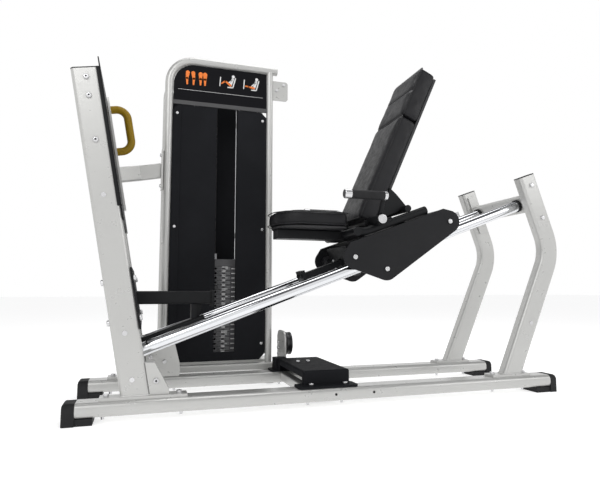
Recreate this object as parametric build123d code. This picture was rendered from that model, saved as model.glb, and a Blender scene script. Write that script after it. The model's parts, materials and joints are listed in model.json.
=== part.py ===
from build123d import *
import os
from math import cos, radians, sin, tan

# Seated leg press: a seat carriage on two inclined guide rails, a fixed footplate on two
# leaning posts, and a cable-driven weight stack in a tower beside the frame.
# Millimetres, +Z up, +X from the footplate to the rear legs, -Y the near side.

# ---- driving dimensions ----
RAIL_Y = 218.0                 # base rails, posts and rear legs: centre distance from the mid plane
TUBE_DEPTH, TUBE_WIDTH = 96.0, 50.0
TUBE_RADIUS, WALL = 14.0, 3.0
BASE_X0, BASE_X1 = -205.0, 1722.0
BASE_Z0, BASE_Z1, BASE_WIDTH = 23.0, 73.0, 100.0
BASE_HOLES = (714.0, 872.0)    # holes in the outer sides of the base rails
FOOT_PLATE_Z = BASE_Z1 + 10.0  # top of the welded base plates
POST_LEAN = 10.1
POST_X = -60.0                 # start of the post's own axes at FOOT_PLATE_Z
POST_T0, POST_T1, POST_TOP = -5.0, 91.0, 1157.0
GUIDE_ANGLE = 20.0
GUIDE_X, GUIDE_Z = 693.0, 481.0
GUIDE_Y, GUIDE_R = 145.0, 25.0
GUIDE_END = 1062.0             # where the guide rails meet the rear crossbar
LEG_DEPTH = 88.0
LEG_TOP, LEG_BEND = Vector(1670, 0, 966), Vector(1795, 0, 624)
SLED_S, SLED_N = -31.0, 18.0   # front face and underside of the sled bar
SLEEVE_S0, SLEEVE_S1 = 180.0, 650.0
CROSS_TUBES = (230.0, 430.0, 600.0)
CARRIAGE_Y = 178.0             # inner face of the carriage side plates
CARRIAGE_WALL = 8.0
ROLLER_R = 22.0
SEAT_TUBE_Y, SEAT_TUBE_R = 161.0, 19.0
SEAT_Z = 690.0                 # centre of the level part of the seat tubes
SEAT_TUBE_X = 850.0            # centre of the crossbar at the seat tubes' front ends
BEAM_X, BEAM_Z0, BEAM_Z1 = 540.0, 666.0, 708.0  # front end and height of the seat's middle beam
SEAT_BEND_X = 890.0            # where the seat tubes turn up along the guide rails' slope
SEAT_REAR_X = 1178.0
SEAT_X0, SEAT_X1, SEAT_HALF = 512.0, 835.0, 140.0
SEAT_LOW, SEAT_TOP = 715.0, 782.0
FLOOR_PULLEY_Y, FLOOR_PULLEY_Z = 300.0, 187.0
BACK_LEAN = 24.4
BACK_X, BACK_Z = 873.0, 757.0  # lowest point of the back pad's front face
PAD_HALF, PAD_DEPTH = 135.0, 85.0
BRACKET_Y = 119.0              # inner face of the backrest bracket plates
TOWER_Y, TOWER_REAR_Y = 344.0, 570.0
TOWER_X0, TOWER_X1 = 93.0, 594.0
TOWER_TOP = 1572.0
HEAD_Z = 1430.0                # beam that carries the guide rods and head pulleys
TOWER_BASE_Z0, TOWER_BASE_Z1 = 62.0, 94.0
STACK_X = 345.0
STACK_Y0, STACK_Y1 = 444.0, 534.0
PLATE_PITCH, PLATE_COUNT = 23.3, 19
LIFTED_PLATES = 5
STACK_Z = 121.0
ROD_X, ROD_R = 110.0, 12.0     # stack guide rods, either side of STACK_X
STEM_R, PIN_R = 11.0, 5.0
RUN = 0.05                     # radial clearance of every running fit

STACK_Y = (STACK_Y0 + STACK_Y1) / 2
STACK_TOP = STACK_Z + PLATE_COUNT * PLATE_PITCH
HEAD_PLATE = 36.0
CABLE_R = 3.0
PULLEY_Z, PULLEY_R, PULLEY_GROOVE = 1508.0, 50.0, 45.0
PULLEY_LEFT = STACK_X + PULLEY_GROOVE + CABLE_R
CABLE_DOWN_X = 568.0
PULLEY_RIGHT = CABLE_DOWN_X - PULLEY_GROOVE - CABLE_R


# ---- shared shapes ----
def both(make):
    """The near and the far copy of a solid made by make(side), side -1 near, +1 far."""
    return [make(-1), make(1)]


def section(plane, depth, width, radius, wall=0.0):
    """Rounded tube section on a plane, hollow when a wall is given."""
    sketch = RectangleRounded(depth, width, radius)
    if wall:
        sketch -= RectangleRounded(depth - 2 * wall, width - 2 * wall, max(radius - wall, 0.5))
    return plane * sketch


def block(x0, x1, y0, y1, z0, z1):
    return Pos((x0 + x1) / 2, (y0 + y1) / 2, (z0 + z1) / 2) * Box(x1 - x0, y1 - y0, z1 - z0)


def rod(start, end, radius, bore=0.0):
    """Cylinder or ring between two points."""
    start, end = Vector(*start), Vector(*end)
    plane = Plane(start, z_dir=end - start)
    sketch = Circle(radius)
    if bore:
        sketch -= Circle(bore)
    return extrude(plane * sketch, (end - start).length)


def beam(start, end, depth, width, radius, wall=WALL):
    """Rounded tube between two points, its depth in the X-Z plane and its width along Y."""
    start, end = Vector(*start), Vector(*end)
    plane = Plane(start, x_dir=Vector(0, 1, 0), z_dir=end - start)
    return extrude(section(plane, width, depth, radius, wall), (end - start).length)


def cross_tube(x, z, y0, y1, width, height, radius, wall=WALL):
    """Level tube along Y."""
    plane = Plane(Vector(x, y0, z), x_dir=Vector(1, 0, 0), z_dir=Vector(0, 1, 0))
    return extrude(section(plane, width, height, radius, wall), y1 - y0)


def upright_plate(points, y0, y1):
    """Flat plate between y0 and y1 with an outline of (x, z) points."""
    face = Plane(Vector(0, y0, 0), x_dir=Vector(1, 0, 0), z_dir=Vector(0, -1, 0))
    return extrude(face * make_face(Polyline(*points, close=True)), -(y1 - y0))


def swept(path, sketch_radius, bore):
    ring = Circle(sketch_radius) - Circle(bore)
    return sweep(Plane(path @ 0, z_dir=path % 0) * ring, path=path)


def dome_head(centre, direction, radius, height):
    """Button bolt head standing on a face."""
    head = rod(centre, Vector(*centre) + Vector(*direction).normalized() * height, radius)
    top = head.faces().sort_by(Axis(Vector(*centre), Vector(*direction)))[-1]
    return fillet(top.edges(), height * 0.55)


# ---- local axes ----
def post_point(s, t, y=0.0):
    """Point on a post: s up along it, t forward towards the seat."""
    lean = radians(POST_LEAN)
    return Vector(POST_X - s * sin(lean) + t * cos(lean), y, FOOT_PLATE_Z + s * cos(lean) + t * sin(lean))


def post_plane(s, t, y=0.0):
    """Plane facing up along a post, x forward and y along Y."""
    lean = radians(POST_LEAN)
    forward, up = Vector(cos(lean), 0, sin(lean)), Vector(-sin(lean), 0, cos(lean))
    return Plane(post_point(s, t, y), x_dir=forward, z_dir=up)


def post_block(s0, s1, t0, t1, y0, y1):
    box = Pos(0, (y0 + y1) / 2, (s1 - s0) / 2) * Box(t1 - t0, y1 - y0, s1 - s0)
    return post_plane(s0, (t0 + t1) / 2) * box


def guide_point(s, n, y=0.0):
    """Point on the guide rails: s up the slope, n square to it."""
    a = radians(GUIDE_ANGLE)
    return Vector(GUIDE_X + s * cos(a) - n * sin(a), y, GUIDE_Z + s * sin(a) + n * cos(a))


def guide_plane(s, n, y=0.0):
    a = radians(GUIDE_ANGLE)
    return Plane(guide_point(s, n, y), x_dir=Vector(cos(a), 0, sin(a)), z_dir=Vector(-sin(a), 0, cos(a)))


def guide_block(s0, s1, n0, n1, y0, y1):
    box = Pos((s1 - s0) / 2, (y0 + y1) / 2, (n1 - n0) / 2) * Box(s1 - s0, y1 - y0, n1 - n0)
    return guide_plane(s0, n0) * box


def guide_plate(points, y0, y1):
    """Upright plate with an outline of (s, n) points."""
    return upright_plate([(guide_point(s, n).X, guide_point(s, n).Z) for s, n in points], y0, y1)


def back_point(h, depth, y=0.0):
    """Point on the backrest: h up its front face, depth behind it."""
    a = radians(BACK_LEAN)
    return Vector(BACK_X + h * sin(a) + depth * cos(a), y, BACK_Z + h * cos(a) - depth * sin(a))


def back_block(h0, h1, depth0, depth1, half):
    corners = [back_point(h, d) for h, d in ((h0, depth0), (h0, depth1), (h1, depth1), (h1, depth0))]
    return upright_plate([(c.X, c.Z) for c in corners], -half, half)


# ---- base ----
def base_rail(side):
    """Long floor rail with two round holes in its outer side."""
    rail = beam((BASE_X0, side * RAIL_Y, 48), (BASE_X1, side * RAIL_Y, 48), 50, BASE_WIDTH, 20)
    y0, y1 = side * (RAIL_Y + 30), side * (RAIL_Y + BASE_WIDTH)
    for x in BASE_HOLES:
        rail -= rod((x, y0, 50), (x, y1, 50), 5)
    return rail


def rubber_feet():
    feet = []
    for side in (-1, 1):
        for end, out, inner in ((BASE_X0, -246.0, -149.0), (BASE_X1, 1758.0, 1652.0)):
            low, high = sorted((out, end))
            cap = block(low, high, side * RAIL_Y - 50, side * RAIL_Y + 50, 0, BASE_Z1)
            cap = fillet(cap.edges().filter_by(Axis.X).group_by(Axis.Z)[-1], 20)
            nose = cap.faces().sort_by(Axis.X)[0 if out < end else -1]
            cap = fillet(nose.edges().group_by(Axis.Z)[-1], 9)
            low, high = sorted((end, inner))
            pad = block(low, high, side * RAIL_Y - 45, side * RAIL_Y + 45, 0, BASE_Z0)
            feet.append(cap + pad)
    return feet


def base_plates(x0, x1):
    return both(lambda side: block(x0, x1, side * RAIL_Y - 30, side * RAIL_Y + 30, BASE_Z1, FOOT_PLATE_Z))


def base_bolts(places, z):
    """Nuts on top of the base plates."""
    return [rod((x, side * RAIL_Y, z), (x, side * RAIL_Y, z + 9), 9.5) for side in (-1, 1) for x in places]


def under_bolts():
    places = (-120, 141, 616, 756, 1455, 1612)
    return [
        rod((x, side * RAIL_Y, 8), (x, side * RAIL_Y, BASE_Z0), 6) for side in (-1, 1) for x in places
    ]


# ---- footplate frame ----
def footplate_post(side):
    outline = section(post_plane(-30, 43, side * RAIL_Y), TUBE_DEPTH, TUBE_WIDTH, TUBE_RADIUS, WALL)
    tube = extrude(outline, POST_TOP + 30)
    return tube - block(-300, 200, side * RAIL_Y - 40, side * RAIL_Y + 40, -50, FOOT_PLATE_Z)


def post_cap(side):
    return extrude(section(post_plane(POST_TOP, 43, side * RAIL_Y), TUBE_DEPTH, TUBE_WIDTH, TUBE_RADIUS), 4)


def footplate():
    plate = post_block(603, 1201, POST_T1, POST_T1 + 4, -243, 243)
    across = Vector(*post_point(0, 1)) - Vector(*post_point(0, 0))
    corners = plate.edges().filter_by(lambda e: abs((e % 0).dot(across)) > 0.99)
    return fillet(corners, 14)


def side_flange(side):
    y0, y1 = sorted((side * 243, side * 246.5))
    return post_block(655, 1160, 81, POST_T1, y0, y1)


def handle_bracket():
    return post_block(705, 1208, 95, 104, 193, 243)


def entry_handle():
    points = [post_point(967, 104, RAIL_Y), post_point(967, 170, RAIL_Y)]
    points += [post_point(1157, 170, RAIL_Y), post_point(1157, 104, RAIL_Y)]
    return swept(FilletPolyline(*points, radius=46), 17, 14)


def cross_plate():
    return post_block(214, 434, POST_T1, 97, -243, 243)


def cross_plate_bolts():
    heads = []
    forward = post_point(0, 1) - post_point(0, 0)
    for side in (-1, 1):
        for s in (395, 253):
            heads.append(dome_head(post_point(s, 97, side * RAIL_Y), forward, 11, 9))
            heads.append(dome_head(post_point(s, POST_T0, side * RAIL_Y), forward * -1, 11, 9))
    return heads


def post_bolts():
    places = [(-1, 1124), (-1, 1056), (-1, 896), (1, 1124), (1, 1056)]
    return [dome_head(post_point(s, 43, side * 243), (0, side, 0), 10, 8) for side, s in places]


def post_plugs():
    places = [(side, s) for side in (-1, 1) for s in (49, 211, 699)]
    return [dome_head(post_point(s, 41, side * 243), (0, side, 0), 9, 2) for side, s in places]


def gusset(side):
    if side < 0:
        outline = [(11, 194), (46, 194), (97, 100), (98, 75), (32, 75)]
        plate = upright_plate(outline, -RAIL_Y - 20, -RAIL_Y + 20)
    else:
        outline = [(11, 200), (139, 214), (161, 128), (165, 100), (158, 75), (32, 75)]
        plate = upright_plate(outline, RAIL_Y - 34, RAIL_Y - 26)
    plate -= base_plates(-133, 160)[0] if side < 0 else base_plates(-133, 160)[1]
    front = post_block(-60, 200, POST_T0 - 40, POST_T1, -260, 260)
    return plate - front


def gusset_bolts():
    near = [dome_head((52, -RAIL_Y - 20, 131), (0, -1, 0), 10, 8)]
    return near + [dome_head((x, RAIL_Y - 34, z), (0, -1, 0), 9, 7) for x, z in ((38, 159), (97, 138))]


def lower_crossbar():
    up = post_point(1, 0) - post_point(0, 0)
    plane = Plane(post_point(150, 43, -193), x_dir=up, z_dir=Vector(0, 1, 0))
    return extrude(section(plane, 80, 60, 8, WALL), 386)


# ---- stop frame ----
def stop_arm():
    arm = beam((-80, 0, 416), (266, 0, 416), 52, 50, 8)
    return arm - post_block(150, 600, -80, 97, -60, 60)


def stop_cap():
    return fillet(block(266, 278, -30, 30, 380, 446).edges().filter_by(Axis.X), 8)


def stop_beam():
    lower = guide_point(-800, 6.5)
    upper = guide_point(-475, 6.5)
    tube = beam((lower.X, 0, lower.Z), (upper.X, 0, upper.Z), 46, 50, 8)
    return tube - post_block(0, 400, -80, 73, -60, 60)


def stop_strut():
    strut = block(187, 209, -24, 24, 300, 390)
    web = upright_plate([(209, 300), (232, 390), (209, 390)], -5, 5)
    return strut + web - guide_block(-900, -300, -60, 29.5, -60, 60)


# ---- guide rails and rear frame ----
def guide_rail(side):
    low, high = guide_point(-800, 0, side * GUIDE_Y), guide_point(GUIDE_END, 0, side * GUIDE_Y)
    return rod(low, high, GUIDE_R, GUIDE_R - 5) - post_block(0, 400, -80, 73, -260, 260)


def rail_collar(side):
    low, high = [guide_point(s, 0, side * GUIDE_Y) for s in (GUIDE_END - 12, GUIDE_END)]
    return rod(low, high, GUIDE_R + 4, GUIDE_R)


def rail_stop():
    """Knob on the far guide rail that the rear roller meets at the top of the stroke."""
    knob = rod(guide_point(930, 0, GUIDE_Y), guide_point(930, 52, GUIDE_Y), 13)
    return knob - rod(guide_point(800, 0, GUIDE_Y), guide_point(1000, 0, GUIDE_Y), GUIDE_R)


def rear_leg(side):
    y = side * RAIL_Y
    path = FilletPolyline((LEG_TOP.X, y, LEG_TOP.Z), (LEG_BEND.X, y, LEG_BEND.Z), (1528, y, 34), radius=200)
    plane = Plane(path @ 0, x_dir=Vector(0, 1, 0), z_dir=path % 0)
    leg = sweep(section(plane, TUBE_WIDTH, LEG_DEPTH, TUBE_RADIUS, WALL), path=path)
    return leg - block(1400, 1700, y - 40, y + 40, -50, FOOT_PLATE_Z)


def rear_leg_cap(side):
    top = Vector(LEG_TOP.X, side * RAIL_Y, LEG_TOP.Z)
    plane = Plane(top, x_dir=Vector(0, 1, 0), z_dir=(LEG_TOP - LEG_BEND).normalized())
    return extrude(section(plane, TUBE_WIDTH, LEG_DEPTH, TUBE_RADIUS), 4)


def rear_crossbar():
    up = guide_point(0, 1) - guide_point(0, 0)
    plane = Plane(guide_point(1087, 0, -185), x_dir=up, z_dir=Vector(0, 1, 0))
    return extrude(section(plane, 84, 50, 10, WALL), 370)


def crossbar_end_plate(side):
    y0, y1 = sorted((side * 185, side * 193))
    return guide_block(1062, 1112, -105, 98, y0, y1)


def rear_bolts():
    heads = []
    for side in (-1, 1):
        heads += [dome_head(guide_point(1087, n, side * 243), (0, side, 0), 10, 8) for n in (76, -82)]
        heads.append(dome_head((1654, side * 243, 300), (0, side, 0), 9, 2))
    return heads


# ---- pulley housing on the base ----
def housing_members():
    return [cross_tube(x, 52, -168, 168, 38, 38, 5) for x in (630, 766)]


def pulley_housing():
    """Bridge over the base: a skirted top on a near wall and a far foot, and its bolted flanges."""
    shell = block(601, 795, -206, 184, BASE_Z1 + 8, 133)
    shell = fillet(shell.edges().group_by(Axis.Z)[-1] + shell.edges().filter_by(Axis.Z), 8)
    shell -= block(604, 792, -203, 181, 70, 130)
    shell -= block(590, 800, -188, 150, 60, 107)
    foot = block(588, 645, 184, 240, BASE_Z1 + 8, 133)
    return [shell, fillet(foot.edges().filter_by(Axis.Z), 6)]


def housing_flange():
    flanges = []
    for y in (-RAIL_Y, RAIL_Y):
        flange = block(570, 812, y - 40, y + 40, BASE_Z1, BASE_Z1 + 8)
        flanges.append(fillet(flange.edges().filter_by(Axis.Z), 14))
    return flanges


def housing_bolts():
    flange_bolts = [(630, -RAIL_Y), (770, -RAIL_Y), (690, RAIL_Y), (770, RAIL_Y)]
    heads = [dome_head((x, y, BASE_Z1 + 8), (0, 0, 1), 10, 8) for x, y in flange_bolts]
    return heads + [dome_head((x, 40, 133), (0, 0, 1), 9, 7) for x in (655, 700)]


def pulley_bracket():
    """Upright plate on the far flange with a rounded head, and its foot on the tower base."""
    plate = block(650, 658, 242, 381, BASE_Z1 + 8, 249)
    plate = fillet(plate.edges().filter_by(Axis.X).group_by(Axis.Z)[-1], 42)
    foot = block(640, 650, 325, 363, 81, 94)
    return plate + foot


def bracket_bolts_low():
    return [dome_head((650, y, z), (-1, 0, 0), 8, 7) for y, z in ((350, 188), (358, 160), (358, 133))]


def floor_axle():
    return rod((658, FLOOR_PULLEY_Y, FLOOR_PULLEY_Z), (702, FLOOR_PULLEY_Y, FLOOR_PULLEY_Z), 8)


def floor_pulley():
    y, z = FLOOR_PULLEY_Y, FLOOR_PULLEY_Z
    wheel = rod((666, y, z), (692, y, z), 54, 8 + RUN)
    return wheel - rod((674, y, z), (684, y, z), 55, 48)


# ---- weight tower ----
def tower_arch(y):
    foot, corner, end = (TOWER_X0, y, TOWER_BASE_Z1), (TOWER_X0, y, TOWER_TOP), (632, y, TOWER_TOP)
    return swept(FilletPolyline(foot, corner, end, radius=120), 19.5, 16.5)


def tower_column(y):
    column = rod((TOWER_X1, y, TOWER_BASE_Z1), (TOWER_X1, y, TOWER_TOP), 17, 14)
    return column - rod((400, y, TOWER_TOP), (700, y, TOWER_TOP), 19.5)


def tower_base():
    return [
        beam((60, y, 78), (640, y, 78), 32, 50, 6) for y in (TOWER_Y, TOWER_REAR_Y)
    ]


def tower_feet_bars():
    return [cross_tube(x, 41, 300, 610, 60, 42, 8) for x in (TOWER_X0, TOWER_X1)]


def tower_pads():
    return [rod((x, y, 0), (x, y, 20), 27) for x in (TOWER_X0, TOWER_X1) for y in (325, 575)]


def stack_base():
    return block(64, 623, STACK_Y - 40, STACK_Y + 40, TOWER_BASE_Z0, TOWER_BASE_Z1)


def tower_ties():
    """Tubes that join the front and rear arches; the arches are cut out of their ends."""
    ties = []
    for x in (TOWER_X0, TOWER_X1):
        for z in (HEAD_Z, 760):
            radius = 19.5 if x == TOWER_X0 else 17
            tie = rod((x, TOWER_Y, z), (x, TOWER_REAR_Y, z), 15)
            for y in (TOWER_Y, TOWER_REAR_Y):
                tie -= rod((x, y, z - 60), (x, y, z + 60), radius)
            ties.append(tie)
    return ties


def head_beam():
    bar = block(TOWER_X0, TOWER_X1, STACK_Y - 30, STACK_Y + 30, HEAD_Z - 15, HEAD_Z + 15)
    for x in (TOWER_X0, TOWER_X1):
        bar -= rod((x, TOWER_Y, HEAD_Z), (x, TOWER_REAR_Y, HEAD_Z), 15)
    for x in (STACK_X - ROD_X, STACK_X + ROD_X):
        bar -= rod((x, STACK_Y, 1400), (x, STACK_Y, 1500), ROD_R)
    for x in (STACK_X, CABLE_DOWN_X):
        bar -= rod((x, STACK_Y, 1400), (x, STACK_Y, 1500), 8)
    return bar


def head_plate_bracket():
    """Ear plate on the column at the tower's upper right."""
    ear = block(TOWER_X1 + 17, 690, TOWER_Y - 3, TOWER_Y + 3, 1420, 1522)
    return fillet(ear.edges().filter_by(Axis.Y).group_by(Axis.X)[-1], 14)


def bracket_bolts():
    return [dome_head((x, TOWER_Y - 3, z), (0, -1, 0), 8, 7) for x, z in ((630, 1472), (667, 1504))]


def shroud_front():
    y0, y1 = TOWER_Y - 8, TOWER_Y - 5
    outline = [(114, 110), (546, 110), (576, 140), (576, 1318), (550, 1343), (140, 1343), (114, 1318)]
    panel = upright_plate(outline, y0, y1)
    panel -= block(326, 429, y0 - 5, y1 + 5, 152, 1400)
    fold = upright_plate([(114, 110), (152, 110), (152, 1343), (140, 1343), (114, 1318)], y0 - 6, y0)
    lips = [block(x0, x1, y1, y1 + 22, 152, 1343) for x0, x1 in ((323, 326), (429, 432))]
    return panel + fold + lips[0] + lips[1]


def shroud_screws():
    places = ((133, 1298), (556, 1300), (131, 745), (558, 745), (557, 187), (131, 187))
    return [
        dome_head((x, TOWER_Y - (14 if x < 200 else 8), z), (0, -1, 0), 7, 4) for x, z in places
    ]


def shroud_rear():
    return block(114, 576, TOWER_REAR_Y - 3, TOWER_REAR_Y, 110, 1445)


def placard():
    board = block(113.5, 576, TOWER_Y - 8, TOWER_Y - 5, 1366, 1550)
    corner = board.edges().filter_by(Axis.Y).group_by(Axis.Z)[-1].sort_by(Axis.X)[0]
    return fillet(corner, 101)


def placard_lip():
    return block(113.5, 576, TOWER_Y - 12, TOWER_Y - 5, 1345, 1365)


def rod_pair(z0, z1, radius, bore=0.0):
    places = (STACK_X - ROD_X, STACK_X + ROD_X)
    return [rod((x, STACK_Y, z0), (x, STACK_Y, z1), radius, bore) for x in places]


def stack_plate(index):
    """One weight plate with its guide bores, stem bore and selector hole."""
    z = STACK_Z + index * PLATE_PITCH
    plate = block(STACK_X - 150, STACK_X + 150, STACK_Y0, STACK_Y1, z, z + PLATE_PITCH)
    plate = chamfer(plate.edges().filter_by(Axis.X), 1.6)
    for x in (STACK_X - ROD_X, STACK_X + ROD_X):
        plate -= rod((x, STACK_Y, z - 1), (x, STACK_Y, z + 30), ROD_R + 1.5)
    plate -= rod((STACK_X, STACK_Y, z - 1), (STACK_X, STACK_Y, z + 30), STEM_R + 1.0)
    middle = z + PLATE_PITCH / 2
    return plate - rod((STACK_X, STACK_Y0 - 1, middle), (STACK_X, STACK_Y, middle), PIN_R + 0.7)


def plate_labels(indices):
    labels = []
    for index in indices:
        z = STACK_Z + index * PLATE_PITCH
        labels.append(block(371, 418, STACK_Y0 - 1.2, STACK_Y0, z + 3, z + PLATE_PITCH - 3))
    return labels


def head_plate():
    plate = block(STACK_X - 150, STACK_X + 150, STACK_Y0, STACK_Y1, STACK_TOP, STACK_TOP + HEAD_PLATE)
    plate = fillet(plate.edges().filter_by(Axis.Y), 6)
    for x in (STACK_X - ROD_X, STACK_X + ROD_X):
        plate -= rod((x, STACK_Y, STACK_TOP - 1), (x, STACK_Y, STACK_TOP + 60), ROD_R + RUN + 6)
    return plate - rod((STACK_X, STACK_Y, STACK_TOP - 1), (STACK_X, STACK_Y, STACK_TOP + 60), STEM_R)


def head_bushes():
    return rod_pair(STACK_TOP - 0.0, STACK_TOP + HEAD_PLATE + 4, ROD_R + RUN + 6, ROD_R + RUN)


def selector_stem():
    stem = rod((STACK_X, STACK_Y, STACK_Z + 2), (STACK_X, STACK_Y, STACK_TOP + HEAD_PLATE + 30), STEM_R)
    for index in range(PLATE_COUNT):
        z = STACK_Z + (index + 0.5) * PLATE_PITCH
        stem -= rod((STACK_X, STACK_Y0, z), (STACK_X, STACK_Y1, z), PIN_R + RUN)
    return stem


def selector_pin():
    z = STACK_Z + (PLATE_COUNT - LIFTED_PLATES + 0.5) * PLATE_PITCH
    shank = rod((STACK_X, STACK_Y0 - 6, z), (STACK_X, STACK_Y + STEM_R - 1, z), PIN_R)
    knob = rod((STACK_X, STACK_Y0 - 26, z), (STACK_X, STACK_Y0 - 6, z), 10)
    knob = fillet(knob.edges(), 3)
    return shank + knob


def tower_pulley(x):
    wheel = rod((x, STACK_Y - 12, PULLEY_Z), (x, STACK_Y + 12, PULLEY_Z), PULLEY_R, 8 + RUN)
    ring = rod((x, STACK_Y - 5, PULLEY_Z), (x, STACK_Y + 5, PULLEY_Z), PULLEY_R + 2, PULLEY_GROOVE)
    return wheel - ring


def tower_pulley_axle(x):
    return rod((x, STACK_Y - 22, PULLEY_Z), (x, STACK_Y + 22, PULLEY_Z), 8)


def pulley_cheeks(x):
    cheeks = []
    for y0, y1 in ((STACK_Y - 22, STACK_Y - 16), (STACK_Y + 16, STACK_Y + 22)):
        cheek = block(x - 30, x + 30, y0, y1, HEAD_Z + 15, PULLEY_Z + 30)
        cheeks.append(cheek - rod((x, y0 - 1, PULLEY_Z), (x, y1 + 1, PULLEY_Z), 8))
    return cheeks


def stack_cable():
    low = STACK_TOP + HEAD_PLATE + 30
    return rod((STACK_X, STACK_Y, low), (STACK_X, STACK_Y, PULLEY_Z), CABLE_R)


def tower_cable():
    """Fixed runs: across the tower's head and down beside the stack."""
    z = PULLEY_Z + PULLEY_GROOVE + CABLE_R
    across = rod((PULLEY_LEFT, STACK_Y, z), (PULLEY_RIGHT, STACK_Y, z), CABLE_R)
    down = rod((CABLE_DOWN_X, STACK_Y, TOWER_BASE_Z1), (CABLE_DOWN_X, STACK_Y, PULLEY_Z), CABLE_R)
    return [across, down]


# ---- sled and carriage ----
def sled_bar():
    return guide_block(SLED_S + 16, 600, SLED_N, SLED_N + 26, -20, 20)


def sled_block():
    return guide_block(SLED_S, SLED_S + 16, SLED_N - 6, SLED_N + 40, -42, 42)


def sled_bolts():
    back = guide_point(0, 0) - guide_point(1, 0)
    return [dome_head(guide_point(SLED_S, SLED_N + 17, y), back, 8, 6) for y in (-27, 27)]


ROLLER_AXES = {
    "front": (166, GUIDE_R + ROLLER_R),
    "under": (286, -GUIDE_R - ROLLER_R),
    "rear": (652, GUIDE_R + ROLLER_R),
}


def carriage_plate(side):
    """Side plate drawn tight round its three roller bolts, with a straight top for the seat tubes."""
    rounds = [Pos(s, n) * CenterArc((0, 0), 49, 0, 360) for s, n in ROLLER_AXES.values()]
    top = [Line((168, 110), (642, 110))]
    outline = make_hull([edge for shape in rounds + top for edge in shape.edges()])
    along = guide_point(1, 0) - guide_point(0, 0)
    face = Plane(guide_point(0, 0, side * CARRIAGE_Y), x_dir=along, z_dir=Vector(0, -1, 0))
    return extrude(face * outline, -side * CARRIAGE_WALL)


def roller_pair(name):
    s, n = ROLLER_AXES[name]
    rollers = []
    for side in (-1, 1):
        inner, outer = guide_point(s, n, side * 127), guide_point(s, n, side * 163)
        rollers.append(rod(inner, outer, ROLLER_R - RUN, 8 + RUN))
    return rollers


def roller_axles():
    pins = []
    for s, n in ROLLER_AXES.values():
        for side in (-1, 1):
            pins.append(rod(guide_point(s, n, side * 124), guide_point(s, n, side * CARRIAGE_Y), 8))
    return pins


def roller_bolts():
    face = CARRIAGE_Y + CARRIAGE_WALL
    places = [(s, n, side) for s, n in ROLLER_AXES.values() for side in (-1, 1)]
    return [dome_head(guide_point(s, n, side * face), (0, side, 0), 11, 9) for s, n, side in places]


def carriage_cross_tubes():
    tubes = []
    for s in CROSS_TUBES:
        tubes.append(guide_block(s - 20, s + 20, 70, 110, -CARRIAGE_Y, CARRIAGE_Y))
    return tubes


def sled_sleeve():
    """Square sleeve that runs on the sled bar, with the hole for the adjusting pin."""
    sleeve = guide_block(SLEEVE_S0, SLEEVE_S1, SLED_N - 7, SLED_N + 33, -28, 28)
    sleeve -= guide_block(0, 700, SLED_N - RUN, SLED_N + 26 + RUN, -20 - RUN, 20 + RUN)
    return sleeve - rod(guide_point(300, SLED_N - 20), guide_point(300, SLED_N - 0.01), 5 + RUN)


def front_crossplate():
    """Plate across the front of the carriage, between the guide rails, round the sled bar."""
    plate = guide_block(170, SLEEVE_S0, -30, 100, -116, 116)
    return plate - guide_block(100, 300, SLED_N - 3, SLED_N + 29, -24, 24)


def crossplate_bolts():
    back = guide_point(0, 0) - guide_point(1, 0)
    return [dome_head(guide_point(170, n, y), back, 9, 7) for y in (-70, 70) for n in (4, 42)]


def sleeve_hangers():
    """Blocks that hang the sleeve under the cross tubes."""
    return [guide_block(s - 20, s + 20, SLED_N + 33, 70, -28, 28) for s in CROSS_TUBES]


def adjust_pin():
    shank = rod(guide_point(300, SLED_N - 29), guide_point(300, SLED_N - 1), 5)
    knob = rod(guide_point(300, SLED_N - 55), guide_point(300, SLED_N - 29), 15)
    return shank + fillet(knob.edges(), 4)


def seat_slope_z(x):
    """Centre height of a seat tube behind its bend."""
    return SEAT_Z + (x - SEAT_BEND_X) * tan(radians(GUIDE_ANGLE))


def seat_tube_path(y):
    front, bend = (SEAT_TUBE_X, y, SEAT_Z), (SEAT_BEND_X, y, SEAT_Z)
    return FilletPolyline(front, bend, (SEAT_REAR_X, y, seat_slope_z(SEAT_REAR_X)), radius=110)


def seat_tube(side, solid=False):
    path = seat_tube_path(side * SEAT_TUBE_Y)
    if solid:
        return sweep(Plane(path @ 0, z_dir=path % 0) * Circle(SEAT_TUBE_R), path=path)
    return swept(path, SEAT_TUBE_R, SEAT_TUBE_R - 3) - seat_front_bar()


def seat_tube_caps():
    caps = []
    along = Vector(1, 0, tan(radians(GUIDE_ANGLE))).normalized()
    for side in (-1, 1):
        start = Vector(SEAT_REAR_X, side * SEAT_TUBE_Y, seat_slope_z(SEAT_REAR_X))
        caps.append(rod(start, start + along * 4, SEAT_TUBE_R))
    return caps


def seat_front_bar():
    """Round crossbar that joins the front ends of the seat tubes and the middle beam."""
    reach = SEAT_TUBE_Y + SEAT_TUBE_R
    return rod((SEAT_TUBE_X, -reach, SEAT_Z), (SEAT_TUBE_X, reach, SEAT_Z), SEAT_TUBE_R)


def seat_beam():
    """Flat middle beam that carries the seat in front of the crossbar."""
    z = (BEAM_Z0 + BEAM_Z1) / 2
    return beam((BEAM_X, 0, z), (SEAT_TUBE_X, 0, z), BEAM_Z1 - BEAM_Z0, 80, 8) - seat_front_bar()


def seat_pan():
    reach = SEAT_HALF - 15
    pan = block(SEAT_X0 + 18, SEAT_X1 - 5, -reach, reach, BEAM_Z1, SEAT_LOW)
    front = fillet(pan.edges().filter_by(Axis.Z).group_by(Axis.X)[0], 110)
    return fillet(front.edges().filter_by(Axis.Z).group_by(Axis.X)[-1], 20)


def seat_cushion():
    pad = block(SEAT_X0, SEAT_X1, -SEAT_HALF, SEAT_HALF, SEAT_LOW, SEAT_TOP)
    pad = fillet(pad.edges().filter_by(Axis.Z).group_by(Axis.X)[0], 128)
    return fillet(pad.edges().filter_by(Axis.Z).group_by(Axis.X)[-1], 30)


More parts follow.
